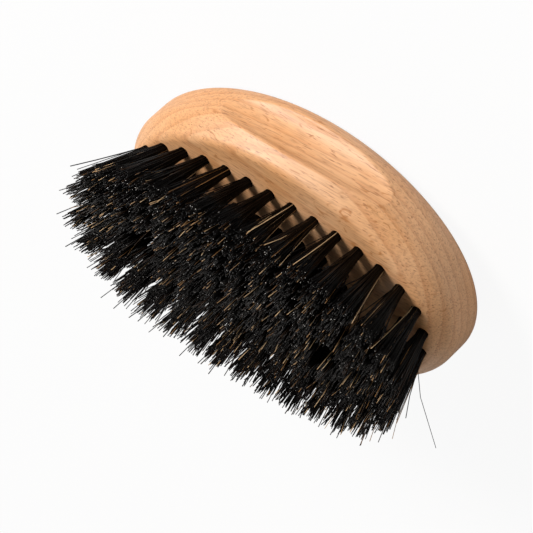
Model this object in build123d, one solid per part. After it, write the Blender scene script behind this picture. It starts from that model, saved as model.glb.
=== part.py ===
from build123d import *
import math
import os

# Oval palm brush for beards: a beech body with rows of bristle tufts in drilled holes.
# Millimetres. +Z is the way the bristles point, X is the long way of the body, and the
# origin is the middle of the flat land on the back, which is what the brush rests on.

# ---- wooden body
BODY_LENGTH = 100.0  # along X
BODY_WIDTH = 68.0  # along Y
BODY_HEIGHT = 21.7  # back land to bristle face
BEVEL_X = 3.8  # the side leans in this far at the ends on its way up to the face
BEVEL_Y = 4.8  # and this far at the sides
BEVEL_DOWN = 5.4  # face down to where the lean begins
RIDGE_RADIUS = 3.0  # softened ridge round the face
SHOULDER_RADIUS = 6.0  # softened turn from the upright side to the lean
BACK_ROUND_X = 15.0  # the back rounds over this far in from the ends
BACK_ROUND_Y = 7.0  # and this far in from the sides
BACK_ROUND_UP = 8.7  # and this far up
ROUND_STEPS = 8  # sections through the rounding

# ---- finger groove in each long side, cut by a round cutter on a long curve
GROOVE_DEPTH = 3.8  # at its middle
GROOVE_CUTTER_RADIUS = 8.0
GROOVE_PATH_RADIUS = 350.0  # curve of the groove's floor, seen from above
GROOVE_BELOW_FACE = 9.4  # bristle face down to the groove's middle
GROOVE_EDGE_RADIUS = 0.8  # softened edge

# ---- tuft holes, in rows that follow the oval
ROW_COUNTS = {"outer": 32, "second": 26, "third": 22}  # tufts in each oval row
END_MARGIN = 5.7  # the outermost row's ends in from the body's ends
SIDE_MARGIN = 14.1  # and its sides in from the body's sides
ROW_SQUARENESS = 2.6  # exponent of the rows' oval: 2 is an ellipse
INNER_COUNT = 7  # tufts in each of the two straight inner rows
INNER_PITCH = 6.6
INNER_ROW_Y = 3.1  # an inner row's distance from the long axis
HOLE_RADIUS = 1.55
HOLE_DEPTH = 9.5
TUFT_CLEARANCE = 0.03  # between a tuft's root and the wall of its hole

# ---- bristle tufts
BRISTLE_LENGTH = 19.4  # bristle face to the trimmed tips
TUFT_GAP = 0.4  # between the two nearest tufts, at the trimmed tips
COLLAR = 1.2  # straight length above the face before a tuft flares
LEAN_X = 0.10  # a tip stands this share of its root's X farther out
LEAN_Y = 0.22  # and this share of its root's Y

# ---- flat wire anchors, which hold each folded tuft at the bottom of its hole
ANCHOR_WIDTH = 3.9
ANCHOR_HEIGHT = 1.6
ANCHOR_THICKNESS = 0.4
ANCHOR_ABOVE_BOTTOM = 0.8  # room for the fold of the bristles

LENGTH_STEPS = 720  # steps that measure a row when its tufts are spaced out
ON_ITS_BASE = (Align.CENTER, Align.CENTER, Align.MIN)


def oval(inset_x, inset_y, z):
    """An oval slice of the body, drawn in by an inset at the ends and another at the sides."""
    return Plane.XY.offset(z) * Ellipse(BODY_LENGTH / 2 - inset_x, BODY_WIDTH / 2 - inset_y)


def back_zone():
    """The rounded back, from its flat land up to the upright side."""
    slices = []
    for i in range(ROUND_STEPS + 1):
        turn = math.pi / 2 * i / ROUND_STEPS
        inward = 1 - math.sin(turn)
        z = BACK_ROUND_UP * (1 - math.cos(turn))
        slices.append(oval(BACK_ROUND_X * inward, BACK_ROUND_Y * inward, z))
    return loft(slices)


def front_zone():
    """The upright side and the lean above it, up to the flat bristle face with its soft ridge."""
    shoulder_z = BODY_HEIGHT - BEVEL_DOWN
    side = extrude(oval(0, 0, BACK_ROUND_UP), shoulder_z - BACK_ROUND_UP)
    lean = loft([oval(0, 0, shoulder_z), oval(BEVEL_X, BEVEL_Y, BODY_HEIGHT)])
    front = side + lean
    front = fillet(front.edges().filter_by_position(Axis.Z, BODY_HEIGHT, BODY_HEIGHT), RIDGE_RADIUS)
    return fillet(front.edges().filter_by_position(Axis.Z, shoulder_z, shoulder_z), SHOULDER_RADIUS)


def body_blank():
    """The oval block with its bevelled face and rounded back, before grooves and holes."""
    return back_zone() + front_zone()


def groove_cutter(side):
    """The ring that a round cutter sweeps to make one finger groove; side is 1 or -1 along Y."""
    ring = Torus(GROOVE_PATH_RADIUS + GROOVE_CUTTER_RADIUS, GROOVE_CUTTER_RADIUS)
    floor_y = BODY_WIDTH / 2 - GROOVE_DEPTH
    return Pos(0, side * (floor_y - GROOVE_PATH_RADIUS), BODY_HEIGHT - GROOVE_BELOW_FACE) * ring


def grooved_body():
    """The block with a softened finger groove in each long side."""
    body = body_blank() - groove_cutter(1) - groove_cutter(-1)
    grooves = body.faces().filter_by(GeomType.TORUS)
    return fillet(grooves.edges(), GROOVE_EDGE_RADIUS)


def oval_point(half_x, half_y, angle):
    """A point of a row's oval."""
    power = 2 / ROW_SQUARENESS
    x = half_x * math.copysign(abs(math.cos(angle)) ** power, math.cos(angle))
    y = half_y * math.copysign(abs(math.sin(angle)) ** power, math.sin(angle))
    return x, y


def row_roots(name):
    """Roots of the upper half of one oval row, evenly spaced, from +X round to -X."""
    outer_y = BODY_WIDTH / 2 - SIDE_MARGIN
    inward = list(ROW_COUNTS).index(name) * (outer_y - INNER_ROW_Y) / len(ROW_COUNTS)
    half_x = BODY_LENGTH / 2 - END_MARGIN - inward
    half_y = outer_y - inward
    path = [oval_point(half_x, half_y, math.pi * i / LENGTH_STEPS) for i in range(LENGTH_STEPS + 1)]
    travelled = [0.0]
    for a, b in zip(path, path[1:]):
        travelled.append(travelled[-1] + math.dist(a, b))
    pitch = 2 * travelled[-1] / ROW_COUNTS[name]
    roots = []
    for k in range(ROW_COUNTS[name] // 2):
        wanted = (k + 0.5) * pitch
        i = next(j for j, length in enumerate(travelled) if length >= wanted)
        t = (wanted - travelled[i - 1]) / (travelled[i] - travelled[i - 1])
        x = path[i - 1][0] + t * (path[i][0] - path[i - 1][0])
        y = path[i - 1][1] + t * (path[i][1] - path[i - 1][1])
        roots.append((x, y))
    return roots


def inner_roots():
    """Roots of the upper one of the two straight inner rows, from +X to -X."""
    first = (INNER_COUNT - 1) / 2
    return [((first - k) * INNER_PITCH, INNER_ROW_Y) for k in range(INNER_COUNT)]


def rows():
    """Each row's name and the roots on its +Y side."""
    found = {name: row_roots(name) for name in ROW_COUNTS}
    found["inner"] = inner_roots()
    return found


def tip_radius():
    """The flare that leaves the two nearest tufts just clear of each other at their tips."""
    halves = [root for roots in rows().values() for root in roots]
    tips = [(x * (1 + LEAN_X), side * y * (1 + LEAN_Y)) for x, y in halves for side in (1, -1)]
    nearest = min(math.dist(a, b) for i, a in enumerate(tips) for b in tips[i + 1:])
    return (nearest - TUFT_GAP) / 2


def hole_plane(x, y):
    """The frame of one hole: origin at its mouth, Z out along its leaning axis."""
    lean = Vector(x * LEAN_X, y * LEAN_Y, BRISTLE_LENGTH)
    across = Vector(-y * LEAN_Y, x * LEAN_X, 0)
    return Plane(origin=(x, y, BODY_HEIGHT), x_dir=across, z_dir=lean)


def hole_cutter(x, y):
    """The drill that makes one blind tuft hole."""
    drill = Cylinder(HOLE_RADIUS, HOLE_DEPTH + COLLAR, align=ON_ITS_BASE)
    return hole_plane(x, y) * Pos(0, 0, -HOLE_DEPTH) * drill


def anchor(x, y):
    """One flat wire anchor, its ends bitten into the wall of the hole."""
    plate = Box(ANCHOR_WIDTH, ANCHOR_THICKNESS, ANCHOR_HEIGHT, align=ON_ITS_BASE)
    return hole_plane(x, y) * Pos(0, 0, ANCHOR_ABOVE_BOTTOM - HOLE_DEPTH) * plate


def tuft(x, y, flare):
    """One bristle tuft: a round root in its hole, then a flare trimmed level with the rest."""
    plane = hole_plane(x, y)
    root = HOLE_RADIUS - TUFT_CLEARANCE
    reach = BRISTLE_LENGTH / plane.z_dir.Z
    tip = reach + 2 * flare * math.tan(math.acos(plane.z_dir.Z))
    slope = (flare - root) / (reach - COLLAR)
    end_radius = root + slope * (tip - COLLAR)
    outline = Polyline(
        (0, -HOLE_DEPTH), (root, -HOLE_DEPTH), (root, COLLAR), (end_radius, tip), (0, tip), close=True
    )
    brush = plane * revolve(Plane.XZ * make_face(outline), Axis.Z, 360)
    level = Plane.XY.offset(BODY_HEIGHT + BRISTLE_LENGTH)
    trimmed = split(brush, bisect_by=level, keep=Keep.BOTTOM)
    return (trimmed - anchor(x, y)).solids()[0]


def wood_body(roots):
    """The beech body: oval block, two finger grooves, tuft holes and the anchors' bites."""
    body = grooved_body() - [hole_cutter(x, y) for x, y in roots]
    body = body - [anchor(x, y) for x, y in roots]
    return body.solids()[0]


def write(node, shape):
    """Write one sub-part under its node's name."""
    shape.label = node
    export_step(shape, f"parts/{node}.step")


def main():
    """Build and write every sub-part: a tuft's node holds it and its mate across the long axis."""
    os.makedirs("parts", exist_ok=True)
    flare = tip_radius()
    every_root = []
    for name, roots in rows().items():
        row_anchors = []
        for k, (x, y) in enumerate(roots):
            pair = [(x, y), (x, -y)]
            write(f"tuft_{name}_{k + 1:02d}", Compound(children=[tuft(*root, flare) for root in pair]))
            row_anchors += [anchor(*root) for root in pair]
            every_root += pair
        write(f"anchors_{name}", Compound(children=row_anchors))
    write("wood_body", wood_body(every_root))


main()
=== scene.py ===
"""Looks of an oval palm brush for beards: waxed beech body, rows of boar bristle tufts.

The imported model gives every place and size. The wooden body and the wire anchors keep their
own meshes and take a finish. Each pair of plain tufts is replaced by loose bristles, which
stand in the same holes, lean the same way and end at the same trimmed level.
"""

import logging
import math
import random
from dataclasses import dataclass, field
from enum import Enum
from typing import Any

import bmesh
import bpy
from mathutils import Matrix, Vector

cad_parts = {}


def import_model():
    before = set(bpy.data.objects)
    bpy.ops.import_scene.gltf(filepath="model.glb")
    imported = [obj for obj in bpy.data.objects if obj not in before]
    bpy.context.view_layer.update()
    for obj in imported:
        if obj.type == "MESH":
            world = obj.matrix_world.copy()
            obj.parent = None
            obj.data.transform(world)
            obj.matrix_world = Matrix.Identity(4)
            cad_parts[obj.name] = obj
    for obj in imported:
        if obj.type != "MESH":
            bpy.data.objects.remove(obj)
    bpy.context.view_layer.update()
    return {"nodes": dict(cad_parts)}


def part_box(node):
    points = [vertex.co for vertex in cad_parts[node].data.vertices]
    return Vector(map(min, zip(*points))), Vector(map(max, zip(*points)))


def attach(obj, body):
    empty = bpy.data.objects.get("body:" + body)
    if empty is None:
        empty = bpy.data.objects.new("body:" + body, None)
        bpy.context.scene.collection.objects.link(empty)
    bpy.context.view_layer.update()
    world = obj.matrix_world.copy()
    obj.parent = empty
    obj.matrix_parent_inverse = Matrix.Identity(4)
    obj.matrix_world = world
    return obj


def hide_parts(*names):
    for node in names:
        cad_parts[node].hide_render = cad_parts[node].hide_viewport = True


LOG = logging.getLogger("beard_brush")
MM = 0.001


class Row(Enum):
    """The rows of tufts, from the rim of the bristle face inwards."""

    OUTER = "outer"
    SECOND = "second"
    THIRD = "third"
    INNER = "inner"


class Side(Enum):
    """Which side of the long axis a tuft stands on."""

    PLUS = 1
    MINUS = -1


def linear(hex_colour: str) -> tuple[float, float, float, float]:
    """Turn an sRGB hex colour into the linear one that shaders use.

    Args:
        hex_colour: Colour as "#RRGGBB".

    Returns:
        Linear red, green and blue, and an alpha of 1.
    """
    digits = hex_colour.lstrip("#")
    values = [int(digits[i : i + 2], 16) / 255 for i in (0, 2, 4)]
    red, green, blue = (
        v / 12.92 if v <= 0.04045 else ((v + 0.055) / 1.055) ** 2.4 for v in values
    )
    return red, green, blue, 1.0


def add(
    tree: bpy.types.NodeTree, kind: str, settings: dict[str, Any], inputs: dict[Any, Any]
) -> bpy.types.Node:
    """Add a shader node with its settings, values and links.

    Args:
        tree: Node tree of the material or world.
        kind: Blender's type name of the node.
        settings: Properties of the node itself.
        inputs: Each input's name or number, with a value or the output that feeds it.

    Returns:
        The new node.
    """
    node = tree.nodes.new(kind)
    for name, value in settings.items():
        setattr(node, name, value)
    for name, value in inputs.items():
        if isinstance(value, bpy.types.NodeSocket):
            tree.links.new(value, node.inputs[name])
        else:
            node.inputs[name].default_value = value
    return node


def set_stops(ramp: bpy.types.Node, stops: list[tuple[float, str]]) -> None:
    """Give a colour ramp its stops.

    Args:
        ramp: Colour ramp node, as new.
        stops: Each stop's place from 0 to 1 and its hex colour, in order.
    """
    elements = ramp.color_ramp.elements
    for index, (place, colour) in enumerate(stops):
        element = elements[index] if index < 2 else elements.new(place)
        element.position = place
        element.color = linear(colour)


def new_material(name: str) -> bpy.types.Material:
    """Make an empty node material.

    Args:
        name: The material's name.

    Returns:
        A material with no node in its tree.
    """
    material = bpy.data.materials.new(name)
    material.use_nodes = True
    material.node_tree.nodes.clear()
    return material


@dataclass(frozen=True)
class WaxedBeech:
    """Steamed beech, sanded and waxed: a warm pinkish tan with short dark pores along the grain.

    The wax leaves a satin sheen. Pores are 0.05 mm wide in the real wood, and are drawn about
    0.3 mm wide so that they show.
    """

    name: str = "waxed_beech"
    ring_width: float = 2.6 * MM
    pith: tuple[float, float, float] = (0.0, -20 * MM, 95 * MM)
    grain_tilt: tuple[float, float, float] = (0.0, 0.05, 0.04)
    fibre_width: float = 0.42 * MM
    fibre_length: float = 9 * MM
    pore_width: float = 0.30 * MM
    pore_length: float = 3.0 * MM
    fleck_width: float = 1.0 * MM
    fleck_length: float = 2.6 * MM
    patch_size: float = 16 * MM
    cloud_size: float = 26 * MM
    roughness: float = 0.50
    coat: float = 0.14
    coat_roughness: float = 0.30

    def stretched(
        self, tree: bpy.types.NodeTree, grain: bpy.types.NodeSocket, width: float, length: float
    ) -> bpy.types.NodeSocket:
        """Scale the grain's coordinates so that one unit is a mark's length or width.

        Args:
            tree: Node tree of the material.
            grain: Coordinates with X along the grain.
            width: A mark's size across the grain.
            length: A mark's size along the grain.

        Returns:
            The scaled coordinates.
        """
        scale = (1 / length, 1 / width, 1 / width)
        mapping = add(tree, "ShaderNodeMapping", {}, {"Vector": grain, "Scale": scale})
        return mapping.outputs["Vector"]

    def rings(self, tree: bpy.types.NodeTree, grain: bpy.types.NodeSocket) -> bpy.types.NodeSocket:
        """Draw the growth rings round the pith, which lies outside the block.

        Args:
            tree: Node tree of the material.
            grain: Coordinates with X along the grain.

        Returns:
            Place across a ring, from 0 to 1.
        """
        centred = add(tree, "ShaderNodeMapping", {}, {"Vector": grain, "Location": self.pith})
        period_at_scale_one = 2 * math.pi / 20
        wave = add(
            tree,
            "ShaderNodeTexWave",
            {"wave_type": "RINGS", "rings_direction": "X", "wave_profile": "SAW"},
            {
                "Vector": centred.outputs["Vector"],
                "Scale": period_at_scale_one / self.ring_width,
                "Distortion": 3.4,
                "Detail": 2.0,
                "Detail Scale": 0.12,
                "Detail Roughness": 0.5,
            },
        )
        return wave.outputs["Fac"]

    def pores(self, tree: bpy.types.NodeTree, grain: bpy.types.NodeSocket) -> bpy.types.NodeSocket:
        """Draw the short dark pores.

        Args:
            tree: Node tree of the material.
            grain: Coordinates with X along the grain.

        Returns:
            1 in a pore and 0 between pores.
        """
        fine = self.stretched(tree, grain, self.pore_width, self.pore_length)
        speckle = {"Vector": fine, "Scale": 1.0, "Detail": 1.0, "Roughness": 0.4}
        noise = add(tree, "ShaderNodeTexNoise", {}, speckle)
        limits = {"Value": noise.outputs["Fac"], "From Min": 0.60, "From Max": 0.74}
        pores = add(tree, "ShaderNodeMapRange", {"interpolation_type": "SMOOTHSTEP"}, limits)
        return pores.outputs["Result"]

    def flecks(self, tree: bpy.types.NodeTree, grain: bpy.types.NodeSocket) -> bpy.types.NodeSocket:
        """Draw the short curved marks of the rays, in patches.

        A mark is a piece of the line where a noise crosses its middle value.

        Args:
            tree: Node tree of the material.
            grain: Coordinates with X along the grain.

        Returns:
            1 on a mark and 0 between marks.
        """
        stretched = self.stretched(tree, grain, self.fleck_width, self.fleck_length)
        field_noise = {"Vector": stretched, "Scale": 0.42, "Detail": 0.0, "Distortion": 0.15}
        noise = add(tree, "ShaderNodeTexNoise", {}, field_noise)
        centred = {0: noise.outputs["Fac"], 1: 0.5}
        offset = add(tree, "ShaderNodeMath", {"operation": "SUBTRACT"}, centred)
        size = add(tree, "ShaderNodeMath", {"operation": "ABSOLUTE"}, {0: offset.outputs["Value"]})
        limits = {"Value": size.outputs["Value"], "From Min": 0.050, "From Max": 0.006}
        lines = add(tree, "ShaderNodeMapRange", {"interpolation_type": "SMOOTHSTEP"}, limits)
        gaps = {"Vector": stretched, "Scale": 0.9, "Detail": 0.0}
        breaks = add(tree, "ShaderNodeTexNoise", {}, gaps)
        break_limits = {"Value": breaks.outputs["Fac"], "From Min": 0.52, "From Max": 0.64}
        pieces = add(tree, "ShaderNodeMapRange", {}, break_limits)
        broad = {"Vector": grain, "Scale": 1 / self.patch_size, "Detail": 1.0}
        patches = add(tree, "ShaderNodeTexNoise", {}, broad)
        mask_limits = {"Value": patches.outputs["Fac"], "From Min": 0.44, "From Max": 0.56}
        mask = add(tree, "ShaderNodeMapRange", {}, mask_limits)
        marks = {0: lines.outputs["Result"], 1: pieces.outputs["Result"]}
        broken = add(tree, "ShaderNodeMath", {"operation": "MULTIPLY"}, marks)
        both = {0: broken.outputs["Value"], 1: mask.outputs["Result"]}
        return add(tree, "ShaderNodeMath", {"operation": "MULTIPLY"}, both).outputs["Value"]

    def build(self) -> bpy.types.Material:
        """Make the material.

        Returns:
            A material that reads the body's own coordinates.
        """
        material = new_material(self.name)
        tree = material.node_tree
        place = add(tree, "ShaderNodeTexCoord", {}, {}).outputs["Object"]
        tilted = {"Vector": place, "Rotation": self.grain_tilt}
        grain = add(tree, "ShaderNodeMapping", {}, tilted).outputs["Vector"]
        ring_ramp = add(tree, "ShaderNodeValToRGB", {}, {"Fac": self.rings(tree, grain)})
        ring_stops = [(0.0, "#DFAF80"), (0.70, "#D8A473"), (0.93, "#C48C5C"), (1.0, "#D6A373")]
        set_stops(ring_ramp, ring_stops)
        drift = {"Vector": grain, "Scale": 1 / self.cloud_size, "Detail": 2.0}
        cloud = add(tree, "ShaderNodeTexNoise", {}, drift)
        cloud_ramp = add(tree, "ShaderNodeValToRGB", {}, {"Fac": cloud.outputs["Fac"]})
        set_stops(cloud_ramp, [(0.35, "#E0B590"), (0.65, "#D0935C")])
        toned = add(
            tree,
            "ShaderNodeMixRGB",
            {"blend_type": "MIX"},
            {
                "Fac": 0.45,
                "Color1": ring_ramp.outputs["Color"],
                "Color2": cloud_ramp.outputs["Color"],
            },
        )
        fibre_place = self.stretched(tree, grain, self.fibre_width, self.fibre_length)
        streaks = {"Vector": fibre_place, "Scale": 1.0, "Detail": 3.0, "Roughness": 0.6}
        fibre = add(tree, "ShaderNodeTexNoise", {}, streaks)
        fibre_ramp = add(tree, "ShaderNodeValToRGB", {}, {"Fac": fibre.outputs["Fac"]})
        set_stops(fibre_ramp, [(0.30, "#C9C2BC"), (0.50, "#F2F0EE"), (0.72, "#FFFFFF")])
        streaked = add(
            tree,
            "ShaderNodeMixRGB",
            {"blend_type": "MULTIPLY"},
            {
                "Fac": 0.8,
                "Color1": toned.outputs["Color"],
                "Color2": fibre_ramp.outputs["Color"],
            },
        )
        flecks = self.flecks(tree, grain)
        fleck_share = add(tree, "ShaderNodeMath", {"operation": "MULTIPLY"}, {0: flecks, 1: 0.8})
        flecked = add(
            tree,
            "ShaderNodeMixRGB",
            {"blend_type": "MIX"},
            {
                "Fac": fleck_share.outputs["Value"],
                "Color1": streaked.outputs["Color"],
                "Color2": linear("#A86C38"),
            },
        )
        pores = self.pores(tree, grain)
        pore_share = add(tree, "ShaderNodeMath", {"operation": "MULTIPLY"}, {0: pores, 1: 0.72})
        pored = add(
            tree,
            "ShaderNodeMixRGB",
            {"blend_type": "MIX"},
            {
                "Fac": pore_share.outputs["Value"],
                "Color1": flecked.outputs["Color"],
                "Color2": linear("#8A5530"),
            },
        )
        relief = {"Height": fibre.outputs["Fac"], "Strength": 0.25, "Distance": 0.04 * MM}
        bump = add(tree, "ShaderNodeBump", {}, relief)
        shader = add(
            tree,
            "ShaderNodeBsdfPrincipled",
            {},
            {
                "Base Color": pored.outputs["Color"],
                "Roughness": self.roughness,
                "IOR": 1.5,
                "Coat Weight": self.coat,
                "Coat Roughness": self.coat_roughness,
                "Normal": bump.outputs["Normal"],
            },
        )
        add(tree, "ShaderNodeOutputMaterial", {}, {"Surface": shader.outputs["BSDF"]})
        return material


@dataclass(frozen=True)
class BoarBristle:
    """Natural boar bristle: a smooth, slightly waxy hair, near black with some brown and fair ones.

    Each hair's own tone is in the mesh attribute "hair", and its height from root to tip is in
    the attribute "along".
    """

    name: str = "boar_bristle"
    roughness: float = 0.24
    gloss: float = 0.10

    def build(self) -> bpy.types.Material:
        """Make the material of a hair's side."""
        material = new_material(self.name)
        tree = material.node_tree
        tone = add(tree, "ShaderNodeAttribute", {"attribute_name": "hair"}, {})
        ramp = add(tree, "ShaderNodeValToRGB", {}, {"Fac": tone.outputs["Fac"]})
        black = [(0.0, "#020202"), (0.86, "#050404")]
        brown = [(0.90, "#1E130B"), (0.95, "#2E1E11")]
        fair = [(0.96, "#7E5B36"), (1.0, "#CFB189")]
        set_stops(ramp, black + brown + fair)
        along = add(tree, "ShaderNodeAttribute", {"attribute_name": "along"}, {})
        fade = add(
            tree,
            "ShaderNodeMapRange",
            {},
            {
                "Value": along.outputs["Fac"],
                "From Min": 0.55,
                "From Max": 1.0,
                "To Min": 0.0,
                "To Max": 0.04,
            },
        )
        coloured = add(
            tree,
            "ShaderNodeMixRGB",
            {"blend_type": "MIX"},
            {
                "Fac": fade.outputs["Result"],
                "Color1": ramp.outputs["Color"],
                "Color2": linear("#2B211A"),
            },
        )
        shader = add(
            tree,
            "ShaderNodeBsdfPrincipled",
            {},
            {
                "Base Color": coloured.outputs["Color"],
                "Roughness": self.roughness,
                "IOR": 1.5,
                "Specular IOR Level": self.gloss,
            },
        )
        add(tree, "ShaderNodeOutputMaterial", {}, {"Surface": shader.outputs["BSDF"]})
        return material


@dataclass(frozen=True)
class CutBristleEnd:
    """Sheared bristle ends: flat and mostly black. Some carry a painted highlight, a pale grey to
    near-white end that stands in for light glinting off the cut face. Fair hairs have tan ends.
    """

    name: str = "cut_bristle_end"
    roughness: float = 0.45
    fair_from: float = 0.96

    def build(self) -> bpy.types.Material:
        """Make the material of a hair's cut end."""
        material = new_material(self.name)
        tree = material.node_tree
        # Painted highlight: a hair whose random end value lies above about 0.86 gets a pale grey to
        # near-white cut end, which stands in for light glinting off the cut face. The other ends
        # stay black.
        tone = add(tree, "ShaderNodeAttribute", {"attribute_name": "end_highlight"}, {})
        ramp = add(tree, "ShaderNodeValToRGB", {}, {"Fac": tone.outputs["Fac"]})
        set_stops(ramp, [(0.0, "#020202"), (0.86, "#070605"), (0.91, "#5E5A55"), (1.0, "#DAD7D3")])
        hair = add(tree, "ShaderNodeAttribute", {"attribute_name": "hair"}, {})
        tone_and_limit = {0: hair.outputs["Fac"], 1: self.fair_from}
        is_fair = add(tree, "ShaderNodeMath", {"operation": "GREATER_THAN"}, tone_and_limit)
        coloured = add(
            tree,
            "ShaderNodeMixRGB",
            {"blend_type": "MIX"},
            {
                "Fac": is_fair.outputs["Value"],
                "Color1": ramp.outputs["Color"],
                "Color2": linear("#B98350"),
            },
        )
        surface = {"Base Color": coloured.outputs["Color"], "Roughness": self.roughness, "IOR": 1.5}
        shader = add(tree, "ShaderNodeBsdfPrincipled", {}, surface)
        add(tree, "ShaderNodeOutputMaterial", {}, {"Surface": shader.outputs["BSDF"]})
        return material


@dataclass(frozen=True)
class DrawnSteelWire:
    """Flat drawn steel wire: bright metal with faint lines along it, hidden in the holes."""

    name: str = "drawn_steel_wire"
    line_width: float = 0.12 * MM

    def build(self) -> bpy.types.Material:
        """Make the material of the anchors."""
        material = new_material(self.name)
        tree = material.node_tree
        place = add(tree, "ShaderNodeTexCoord", {}, {}).outputs["Object"]
        drawn = {"Vector": place, "Scale": 1 / self.line_width, "Detail": 2.0}
        lines = add(tree, "ShaderNodeTexNoise", {}, drawn)
        ramp = add(tree, "ShaderNodeValToRGB", {}, {"Fac": lines.outputs["Fac"]})
        set_stops(ramp, [(0.3, "#8E8E8C"), (0.7, "#C4C4C2")])
        surface = {"Base Color": ramp.outputs["Color"], "Metallic": 1.0, "Roughness": 0.35}
        shader = add(tree, "ShaderNodeBsdfPrincipled", {}, surface)
        add(tree, "ShaderNodeOutputMaterial", {}, {"Surface": shader.outputs["BSDF"]})
        return material


@dataclass(frozen=True)
class PaperSweep:
    """Matt white paper: shows as white, and keeps a faint shadow of the brush."""

    name: str = "white_paper"
    whiteness: float = 0.92

    def build(self) -> bpy.types.Material:
        """Make the material of the floor."""
        material = new_material(self.name)
        tree = material.node_tree
        paper = add(tree, "ShaderNodeBsdfDiffuse", {}, {"Color": linear("#E4E4E4")})
        glow = add(tree, "ShaderNodeEmission", {}, {"Color": linear("#FFFFFF"), "Strength": 1.0})
        ray = add(tree, "ShaderNodeLightPath", {}, {})
        seen = {0: ray.outputs["Is Camera Ray"], 1: self.whiteness}
        share = add(tree, "ShaderNodeMath", {"operation": "MULTIPLY"}, seen)
        mixed = {0: share.outputs["Value"], 1: paper.outputs["BSDF"], 2: glow.outputs["Emission"]}
        shader = add(tree, "ShaderNodeMixShader", {}, mixed)
        add(tree, "ShaderNodeOutputMaterial", {}, {"Surface": shader.outputs["Shader"]})
        return material


@dataclass(frozen=True)
class TuftPlace:
    """Where one tuft stands, read from its plain solid.

    Attributes:
        mouth: Middle of the hole's mouth, at the level of the bristle face.
        axis: Unit direction from the root to the tips.
        root_radius: Radius of the round root.
        tip_radius: Radius of the flare at the tips.
        level: Height of the trimmed tips.
    """

    mouth: Vector
    axis: Vector
    root_radius: float
    tip_radius: float
    level: float


@dataclass
class Bristle:
    """One hair of a tuft.

    Attributes:
        start: Its place in the root's circle, across the axis.
        spread: How many times wider its place is at the tips.
        bend: How far its tip is carried sideways.
        reach: Its length above the mouth, along the axis.
        thickness: Its radius at the root.
        tone: Its own tone, from 0, black, to 1, fair.
        end_highlight: How pale its cut end is. A high value gives the end a painted highlight, pale
            grey to near white, for light glinting off the cut face.
        curl: Power of the bend along the hair.
    """

    start: Vector
    spread: float
    bend: Vector
    reach: float
    thickness: float
    tone: float
    end_highlight: float
    curl: float


@dataclass
class BristleStock:
    """The plain hair that every bristle is shaped from.

    Attributes:
        sides: Sides of its round section.
        spans: Lengths that it is divided into.
        stations: Height of each ring above the hole's mouth: the first two in metres, the others
            as shares of the hair's reach.
    """

    sides: int = 5
    spans: int = 5
    stations: tuple[float, ...] = (-7.0 * MM, -0.4 * MM, 0.10, 0.36, 0.68, 1.0)

    def build(self) -> bpy.types.Mesh:
        """Make a straight hair of unit radius, with its span's number as its height.

        Returns:
            A closed mesh of 27 faces: five sides on each of five spans, and two ends.
        """
        bm = bmesh.new()
        bmesh.ops.create_cone(
            bm,
            cap_ends=True,
            cap_tris=False,
            segments=self.sides,
            radius1=1.0,
            radius2=1.0,
            depth=self.spans,
        )
        bmesh.ops.translate(bm, verts=bm.verts, vec=(0, 0, self.spans / 2))
        upright = [e for e in bm.edges if abs(e.verts[0].co.z - e.verts[1].co.z) > 0.5]
        bmesh.ops.subdivide_edges(bm, edges=upright, cuts=self.spans - 1, use_grid_fill=True)
        mesh = bpy.data.meshes.new("plain_hair")
        bm.to_mesh(mesh)
        bm.free()
        return mesh


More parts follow.
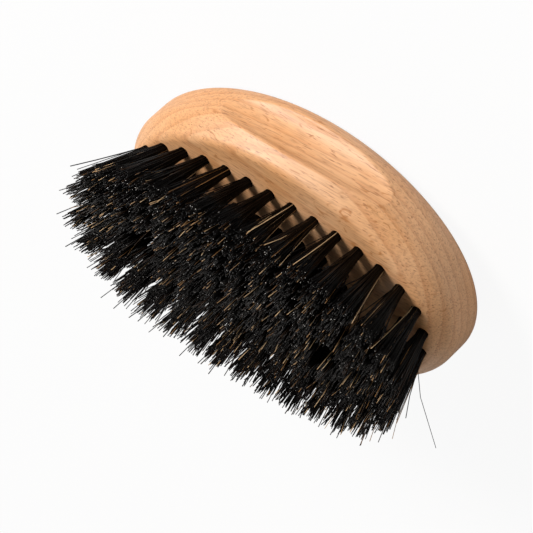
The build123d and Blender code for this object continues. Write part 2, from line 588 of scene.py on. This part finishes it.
@dataclass
class TuftPair:
    """Two bristle tufts, mates across the long axis, made of loose hairs.

    Attributes:
        row: The row that they stand in.
        number: Their number in it.
        seed: Seed of their hairs' chances.
        hairs: Hairs in each tuft.
        hair_radius: Radius of a middling hair at the root.
        turn_noise: How far a hair strays round the root's circle, in radians.
        thickness_range: Thinnest and thickest hair, as shares of the middling one.
        fair_share: Thickness of a fair hair, as a share of a dark one.
        fair_from: Tone from which a hair is drawn thinner, as a fair one.
        tip_taper: A hair's radius at its tip, as a share of its root's.
        collar: Straight length above the mouth before a tuft flares.
        flare_middle: How far hairs spread at the tips, as a share of the plain tuft's flare.
        flare_noise: How much that varies from hair to hair.
        bend_noise: How much a hair's tip is carried sideways.
        curl_range: Least and greatest power of a hair's bend.
        wander_below: Share of hairs that wander well away.
        wander_range: Least and greatest bend of those.
        trim_noise: How uneven the trimmed level is.
        short_below: Share of hairs that end short.
        short_range: How short they end.
        long_above: Chance above which a hair stands proud.
        long_range: How far it stands proud.
        foot_slice: Height of the slice that shows a root's place.
        top_slice: Height of the slice that shows a trimmed end's place.
        places: Where each of the two stands.
    """

    row: Row
    number: int
    seed: int
    hairs: int = 92
    hair_radius: float = 0.14 * MM
    turn_noise: float = 0.15
    thickness_range: tuple[float, float] = (0.8, 1.15)
    fair_share: float = 0.8
    fair_from: float = 0.955
    tip_taper: float = 0.85
    collar: float = 1.2 * MM
    flare_middle: float = 1.32
    flare_noise: float = 0.24
    bend_noise: float = 0.8 * MM
    curl_range: tuple[float, float] = (1.6, 2.6)
    wander_below: float = 0.07
    wander_range: tuple[float, float] = (1.5 * MM, 4.5 * MM)
    trim_noise: float = 0.8 * MM
    short_below: float = 0.10
    short_range: tuple[float, float] = (1.0 * MM, 5.0 * MM)
    long_above: float = 0.975
    long_range: tuple[float, float] = (0.8 * MM, 2.6 * MM)
    foot_slice: float = 0.7 * MM
    top_slice: float = 0.01 * MM
    places: dict[Side, TuftPlace] = field(default_factory=dict)

    @property
    def node(self) -> str:
        """Name of the plain tufts' node."""
        return f"tuft_{self.row.value}_{self.number:02d}"

    def measure(self, solid: bpy.types.Object, face: float) -> None:
        """Read where the two tufts stand from their plain solids.

        Args:
            solid: The node's object, which holds both solids.
            face: Height of the bristle face.
        """
        points = [v.co.copy() for v in solid.data.vertices]
        for side in Side:
            own = [p for p in points if p.y * side.value > 0]
            lowest = min(p.z for p in own)
            highest = max(p.z for p in own)
            foot = [p for p in own if p.z < lowest + self.foot_slice]
            top = [p for p in own if p.z > highest - self.top_slice]
            foot_middle = self.middle(foot)
            top_middle = self.middle(top)
            axis = (top_middle - foot_middle).normalized()
            mouth = foot_middle + axis * ((face - foot_middle.z) / axis.z)
            top_length = max(p.x for p in top) - min(p.x for p in top)
            top_width = max(p.y for p in top) - min(p.y for p in top)
            tip_radius = min(top_length, top_width) / 2
            root_radius = max((p - foot_middle).cross(axis).length for p in foot)
            self.places[side] = TuftPlace(mouth, axis, root_radius, tip_radius, highest)

    @staticmethod
    def middle(points: list[Vector]) -> Vector:
        """Find the middle of the box round some points.

        Args:
            points: The points.

        Returns:
            The box's middle.
        """
        low = Vector(tuple(min(p[i] for p in points) for i in range(3)))
        high = Vector(tuple(max(p[i] for p in points) for i in range(3)))
        return (low + high) / 2

    def draw_hair(self, rng: random.Random, place: TuftPlace, index: int) -> Bristle:
        """Choose one hair's place, length and tone.

        Args:
            rng: Source of chance, seeded for this tuft.
            place: Where the tuft stands.
            index: The hair's number, which places it in the root's circle.

        Returns:
            The hair.
        """
        golden = math.pi * (3 - math.sqrt(5))
        usable = place.root_radius - self.hair_radius
        distance = usable * math.sqrt((index + 0.5) / self.hairs)
        turn = index * golden + rng.uniform(-self.turn_noise, self.turn_noise)
        start = Vector((distance * math.cos(turn), distance * math.sin(turn), 0))
        flare = place.tip_radius / place.root_radius
        spread = flare * rng.gauss(self.flare_middle, self.flare_noise)
        wander_luck = rng.random()
        bend_size = abs(rng.gauss(0, self.bend_noise))
        curl = rng.uniform(*self.curl_range)
        if wander_luck < self.wander_below:
            bend_size = rng.uniform(*self.wander_range)
        away = rng.uniform(0, 2 * math.pi)
        bend = Vector((bend_size * math.cos(away), bend_size * math.sin(away), 0))
        reach = (place.level - place.mouth.z) / place.axis.z + rng.gauss(0, self.trim_noise)
        length_luck = rng.random()
        if length_luck < self.short_below:
            reach -= rng.uniform(*self.short_range)
        elif length_luck > self.long_above:
            reach += rng.uniform(*self.long_range)
        tone = rng.random()
        thickness = self.hair_radius * rng.uniform(*self.thickness_range)
        if tone > self.fair_from:
            thickness *= self.fair_share
        # The seventh value is a random number that decides whether this hair's cut end gets a
        # painted highlight.
        return Bristle(start, spread, bend, reach, thickness, tone, rng.random(), curl)

    def shape_hair(
        self,
        bm: bmesh.types.BMesh,
        stock: bpy.types.Mesh,
        stations: tuple[float, ...],
        place: TuftPlace,
        hair: Bristle,
    ) -> None:
        """Add one hair and carry its rings to their places.

        Args:
            bm: Mesh being built, which takes the new hair.
            stock: The plain hair.
            stations: Height of each ring, as the stock gives it.
            place: Where the tuft stands.
            hair: The hair's own sizes.
        """
        first = len(bm.verts)
        bm.from_mesh(stock)
        bm.verts.ensure_lookup_table()
        across = place.axis.cross(Vector((0, 0, 1)))
        across = Vector((1, 0, 0)) if across.length < 1e-6 else across.normalized()
        along = place.axis.cross(across)
        level_slope = Vector((across.z, along.z, 0)) / place.axis.z
        drop = (hair.start * hair.spread + hair.bend).dot(level_slope)
        reach = hair.reach - drop
        for vert in bm.verts[first:]:
            ring = round(vert.co.z)
            height = stations[ring] if ring < 2 else stations[ring] * reach
            share = max(0.0, height - self.collar) / (reach - self.collar)
            widen = 1 + (hair.spread - 1) * share
            middle = hair.start * widen + hair.bend * share**hair.curl
            radius = hair.thickness * (1 - (1 - self.tip_taper) * max(0.0, height) / reach)
            u = middle.x + vert.co.x * radius
            v = middle.y + vert.co.y * radius
            vert.co = place.mouth + across * u + along * v + place.axis * height

    def build(
        self,
        stock: bpy.types.Mesh,
        stations: tuple[float, ...],
        extra: dict[Side, list[Bristle]],
    ) -> bpy.types.Object:
        """Build the loose hairs of both tufts.

        Args:
            stock: The plain hair.
            stations: Height of each ring of a hair, as the stock gives it.
            extra: Stray hairs to add on each side.

        Returns:
            One object with every hair, and each hair's tone in its attributes.
        """
        rng = random.Random(self.seed)
        bm = bmesh.new()
        hairs: list[Bristle] = []
        for side, place in self.places.items():
            drawn = [self.draw_hair(rng, place, i) for i in range(self.hairs)]
            drawn += extra.get(side, [])
            for hair in drawn:
                self.shape_hair(bm, stock, stations, place, hair)
            hairs += drawn
        mesh = bpy.data.meshes.new(f"bristles_{self.row.value}_{self.number:02d}")
        bm.to_mesh(mesh)
        bm.free()
        self.mark(mesh, stock, hairs)
        piece = bpy.data.objects.new(mesh.name, mesh)
        bpy.context.scene.collection.objects.link(piece)
        return piece

    @staticmethod
    def mark(mesh: bpy.types.Mesh, stock: bpy.types.Mesh, hairs: list[Bristle]) -> None:
        """Write each hair's tone, and mark its cut end.

        Args:
            mesh: The finished mesh, with the hairs one after another.
            stock: The plain hair that each was copied from.
            hairs: The hairs, in the same order.
        """
        top = max(v.co.z for v in stock.vertices)
        heights = [v.co.z / top for v in stock.vertices]
        count = len(heights)
        tone = mesh.attributes.new("hair", "FLOAT", "POINT")
        tone.data.foreach_set("value", [h.tone for h in hairs for _ in range(count)])
        along = mesh.attributes.new("along", "FLOAT", "POINT")
        along.data.foreach_set("value", heights * len(hairs))
        # Each hair's random number for the painted highlight on its cut end.
        ends = mesh.attributes.new("end_highlight", "FLOAT", "POINT")
        ends.data.foreach_set("value", [h.end_highlight for h in hairs for _ in range(count)])
        flat = [abs(p.normal.z) > 0.9 for p in stock.polygons]
        mesh.polygons.foreach_set("material_index", [int(is_end) for is_end in flat] * len(hairs))
        mesh.polygons.foreach_set("use_smooth", [not is_end for is_end in flat] * len(hairs))

    def dress(
        self, piece: bpy.types.Object, side: bpy.types.Material, end: bpy.types.Material
    ) -> None:
        """Give the hairs their finish and let them stand for the plain tufts.

        Args:
            piece: The object with the hairs.
            side: Finish of a hair's side.
            end: Finish of a cut end.
        """
        piece.data.materials.append(side)
        piece.data.materials.append(end)
        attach(piece, "root")
        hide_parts(self.node)


@dataclass
class BristleField:
    """Every tuft of the brush.

    Attributes:
        counts: Pairs of tufts in each row.
        first_seed: Seed of the first pair; each later one takes the next number.
        long_stray: The one hair that hangs far out, past the end of the outer row.
    """

    counts: dict[Row, int] = field(
        default_factory=lambda: {Row.OUTER: 16, Row.SECOND: 13, Row.THIRD: 11, Row.INNER: 7}
    )
    first_seed: int = 4100
    long_stray: Bristle = field(
        default_factory=lambda: Bristle(
            start=Vector((0.9, 0.6, 0)) * MM,
            spread=1.6,
            bend=Vector((14.8, 10.1, 0)) * MM,
            reach=17.8 * MM,
            thickness=0.11 * MM,
            tone=0.2,
            # This stray's cut end stays dark, with no painted highlight.
            end_highlight=0.3,
            curl=2.2,
        )
    )

    def strays(self, row: Row, number: int) -> dict[Side, list[Bristle]]:
        """Give the stray hairs that a pair has besides its own.

        Args:
            row: The pair's row.
            number: Its number in the row.

        Returns:
            The hairs of each side that has any: the last outer pair has the long stray.
        """
        if row is Row.OUTER and number == self.counts[Row.OUTER]:
            return {Side.MINUS: [self.long_stray]}
        return {}

    def build(self, nodes: dict[str, bpy.types.Object], face: float) -> int:
        """Build and dress every pair of tufts.

        Args:
            nodes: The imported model's objects by name.
            face: Height of the bristle face.

        Returns:
            How many pieces were made.
        """
        stock_maker = BristleStock()
        stock = stock_maker.build()
        side = BoarBristle().build()
        end = CutBristleEnd().build()
        made = 0
        for row, count in self.counts.items():
            for number in range(1, count + 1):
                pair = TuftPair(row, number, self.first_seed + made)
                pair.measure(nodes[pair.node], face)
                piece = pair.build(stock, stock_maker.stations, self.strays(row, number))
                pair.dress(piece, side, end)
                made += 1
                LOG.info("%s: %d faces", piece.name, len(piece.data.polygons))
        bpy.data.meshes.remove(stock)
        return made


@dataclass
class WoodenBody:
    """The beech body and the wire anchors in its holes, which keep their own meshes."""

    body: str = "wood_body"
    anchor_prefix: str = "anchors_"

    def dress(self, nodes: dict[str, bpy.types.Object]) -> None:
        """Give the body and the anchors their finishes.

        Args:
            nodes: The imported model's objects by name.
        """
        wood = WaxedBeech().build()
        wire = DrawnSteelWire().build()
        self.cover(nodes[self.body], wood)
        for name, node in nodes.items():
            if name.startswith(self.anchor_prefix):
                self.cover(node, wire)

    @staticmethod
    def cover(node: bpy.types.Object, material: bpy.types.Material) -> None:
        """Put one material in every slot of a node.

        Args:
            node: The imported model's object.
            material: Its finish.
        """
        for material_slot in node.material_slots:
            material_slot.material = material
        LOG.info("%s: %s", node.name, material.name)


@dataclass
class Lamp:
    """A soft studio lamp that faces the brush.

    Attributes:
        name: What the lamp is for.
        direction: Direction from the brush to the lamp.
        distance: How far it stands, in metres.
        size: Side of its square panel, in metres.
        power: Watts.
        colour: Its light's hex colour.
    """

    name: str
    direction: tuple[float, float, float]
    distance: float
    size: float
    power: float
    colour: str

    def build(self, target: Vector) -> bpy.types.Object:
        """Place the lamp.

        Args:
            target: Point that it faces.

        Returns:
            The lamp's object.
        """
        data = bpy.data.lights.new(self.name, "AREA")
        data.shape = "SQUARE"
        data.size = self.size
        data.energy = self.power
        data.color = linear(self.colour)[:3]
        lamp = bpy.data.objects.new(self.name, data)
        lamp.location = target + Vector(self.direction).normalized() * self.distance
        lamp.rotation_euler = (target - lamp.location).to_track_quat("-Z", "Y").to_euler()
        bpy.context.scene.collection.objects.link(lamp)
        return lamp


@dataclass
class Studio:
    """The floor, the lamps and the camera.

    Attributes:
        lamps: The lamps.
        world_level: Strength of the even light from all round.
        floor_side: Side of the square floor, in metres.
        lens: Focal length, in mm.
        sensor: Width of the camera's sensor, in mm.
        distance: From the camera to the point that it looks at.
        nearest: Nearest distance that the camera shows, in metres.
        look_at: Point in the middle of the picture.
        look_from: Direction from that point to the camera.
        camera_up: Direction in the room that is up in the picture.
    """

    lamps: tuple[Lamp, ...] = (
        Lamp("key", (0.56, -0.68, 0.50), 1.1, 0.40, 15.5, "#FFFAF5"),
        Lamp("fill", (-0.9, -0.35, 0.5), 1.4, 1.0, 0.8, "#FFF4EA"),
        Lamp("rim", (0.5, 0.8, 0.7), 1.4, 0.8, 3.0, "#FFFFFF"),
    )
    world_level: float = 0.29
    floor_side: float = 6.0
    lens: float = 270.2
    sensor: float = 36.0
    distance: float = 985.3 * MM
    nearest: float = 0.05
    look_at: tuple[float, float, float] = (0.97 * MM, 1.83 * MM, 24.9 * MM)
    look_from: tuple[float, float, float] = (-0.393, -0.743, 0.542)
    camera_up: tuple[float, float, float] = (0.475, -0.669, -0.572)

    def build_floor(self) -> None:
        """Lay the floor that the brush's back rests on."""
        bm = bmesh.new()
        bmesh.ops.create_grid(bm, x_segments=1, y_segments=1, size=self.floor_side / 2)
        mesh = bpy.data.meshes.new("floor")
        bm.to_mesh(mesh)
        bm.free()
        floor = bpy.data.objects.new("floor", mesh)
        bpy.context.scene.collection.objects.link(floor)
        floor.data.materials.append(PaperSweep().build())

    def build_world(self) -> None:
        """Light the room evenly, and show it white."""
        world = bpy.data.worlds.new("studio")
        world.use_nodes = True
        tree = world.node_tree
        tree.nodes.clear()
        even_light = {"Color": linear("#FFFFFF"), "Strength": self.world_level}
        room = add(tree, "ShaderNodeBackground", {}, even_light)
        white = {"Color": linear("#FFFFFF"), "Strength": 1.0}
        seen = add(tree, "ShaderNodeBackground", {}, white)
        ray = add(tree, "ShaderNodeLightPath", {}, {})
        mixed = {
            0: ray.outputs["Is Camera Ray"],
            1: room.outputs["Background"],
            2: seen.outputs["Background"],
        }
        shader = add(tree, "ShaderNodeMixShader", {}, mixed)
        add(tree, "ShaderNodeOutputWorld", {}, {"Surface": shader.outputs["Shader"]})
        bpy.context.scene.world = world

    def build_camera(self) -> None:
        """Set up the camera, which is turned so that the bristles point down to the left."""
        data = bpy.data.cameras.new("camera")
        data.lens = self.lens
        data.sensor_width = self.sensor
        data.clip_start = self.nearest
        camera = bpy.data.objects.new("camera", data)
        back = Vector(self.look_from).normalized()
        right = Vector(self.camera_up).cross(back).normalized()
        up = back.cross(right)
        turned = Matrix((right, up, back)).transposed().to_4x4()
        place = Vector(self.look_at) + back * self.distance
        camera.matrix_world = Matrix.Translation(place) @ turned
        bpy.context.scene.collection.objects.link(camera)
        bpy.context.scene.camera = camera

    def build(self) -> None:
        """Build the whole studio."""
        self.build_floor()
        self.build_world()
        target = Vector(self.look_at)
        for lamp in self.lamps:
            lamp.build(target)
        self.build_camera()
        bpy.context.scene.view_settings.view_transform = "Standard"


def main() -> None:
    """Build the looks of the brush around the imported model."""
    logging.basicConfig(level=logging.INFO, format="%(name)s: %(message)s")
    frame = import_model()
    nodes = frame["nodes"]
    WoodenBody().dress(nodes)
    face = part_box("wood_body")[1].z
    made = BristleField().build(nodes, face)
    LOG.info("%d pieces of loose bristles", made)
    Studio().build()


if __name__ == "__main__":
    main()
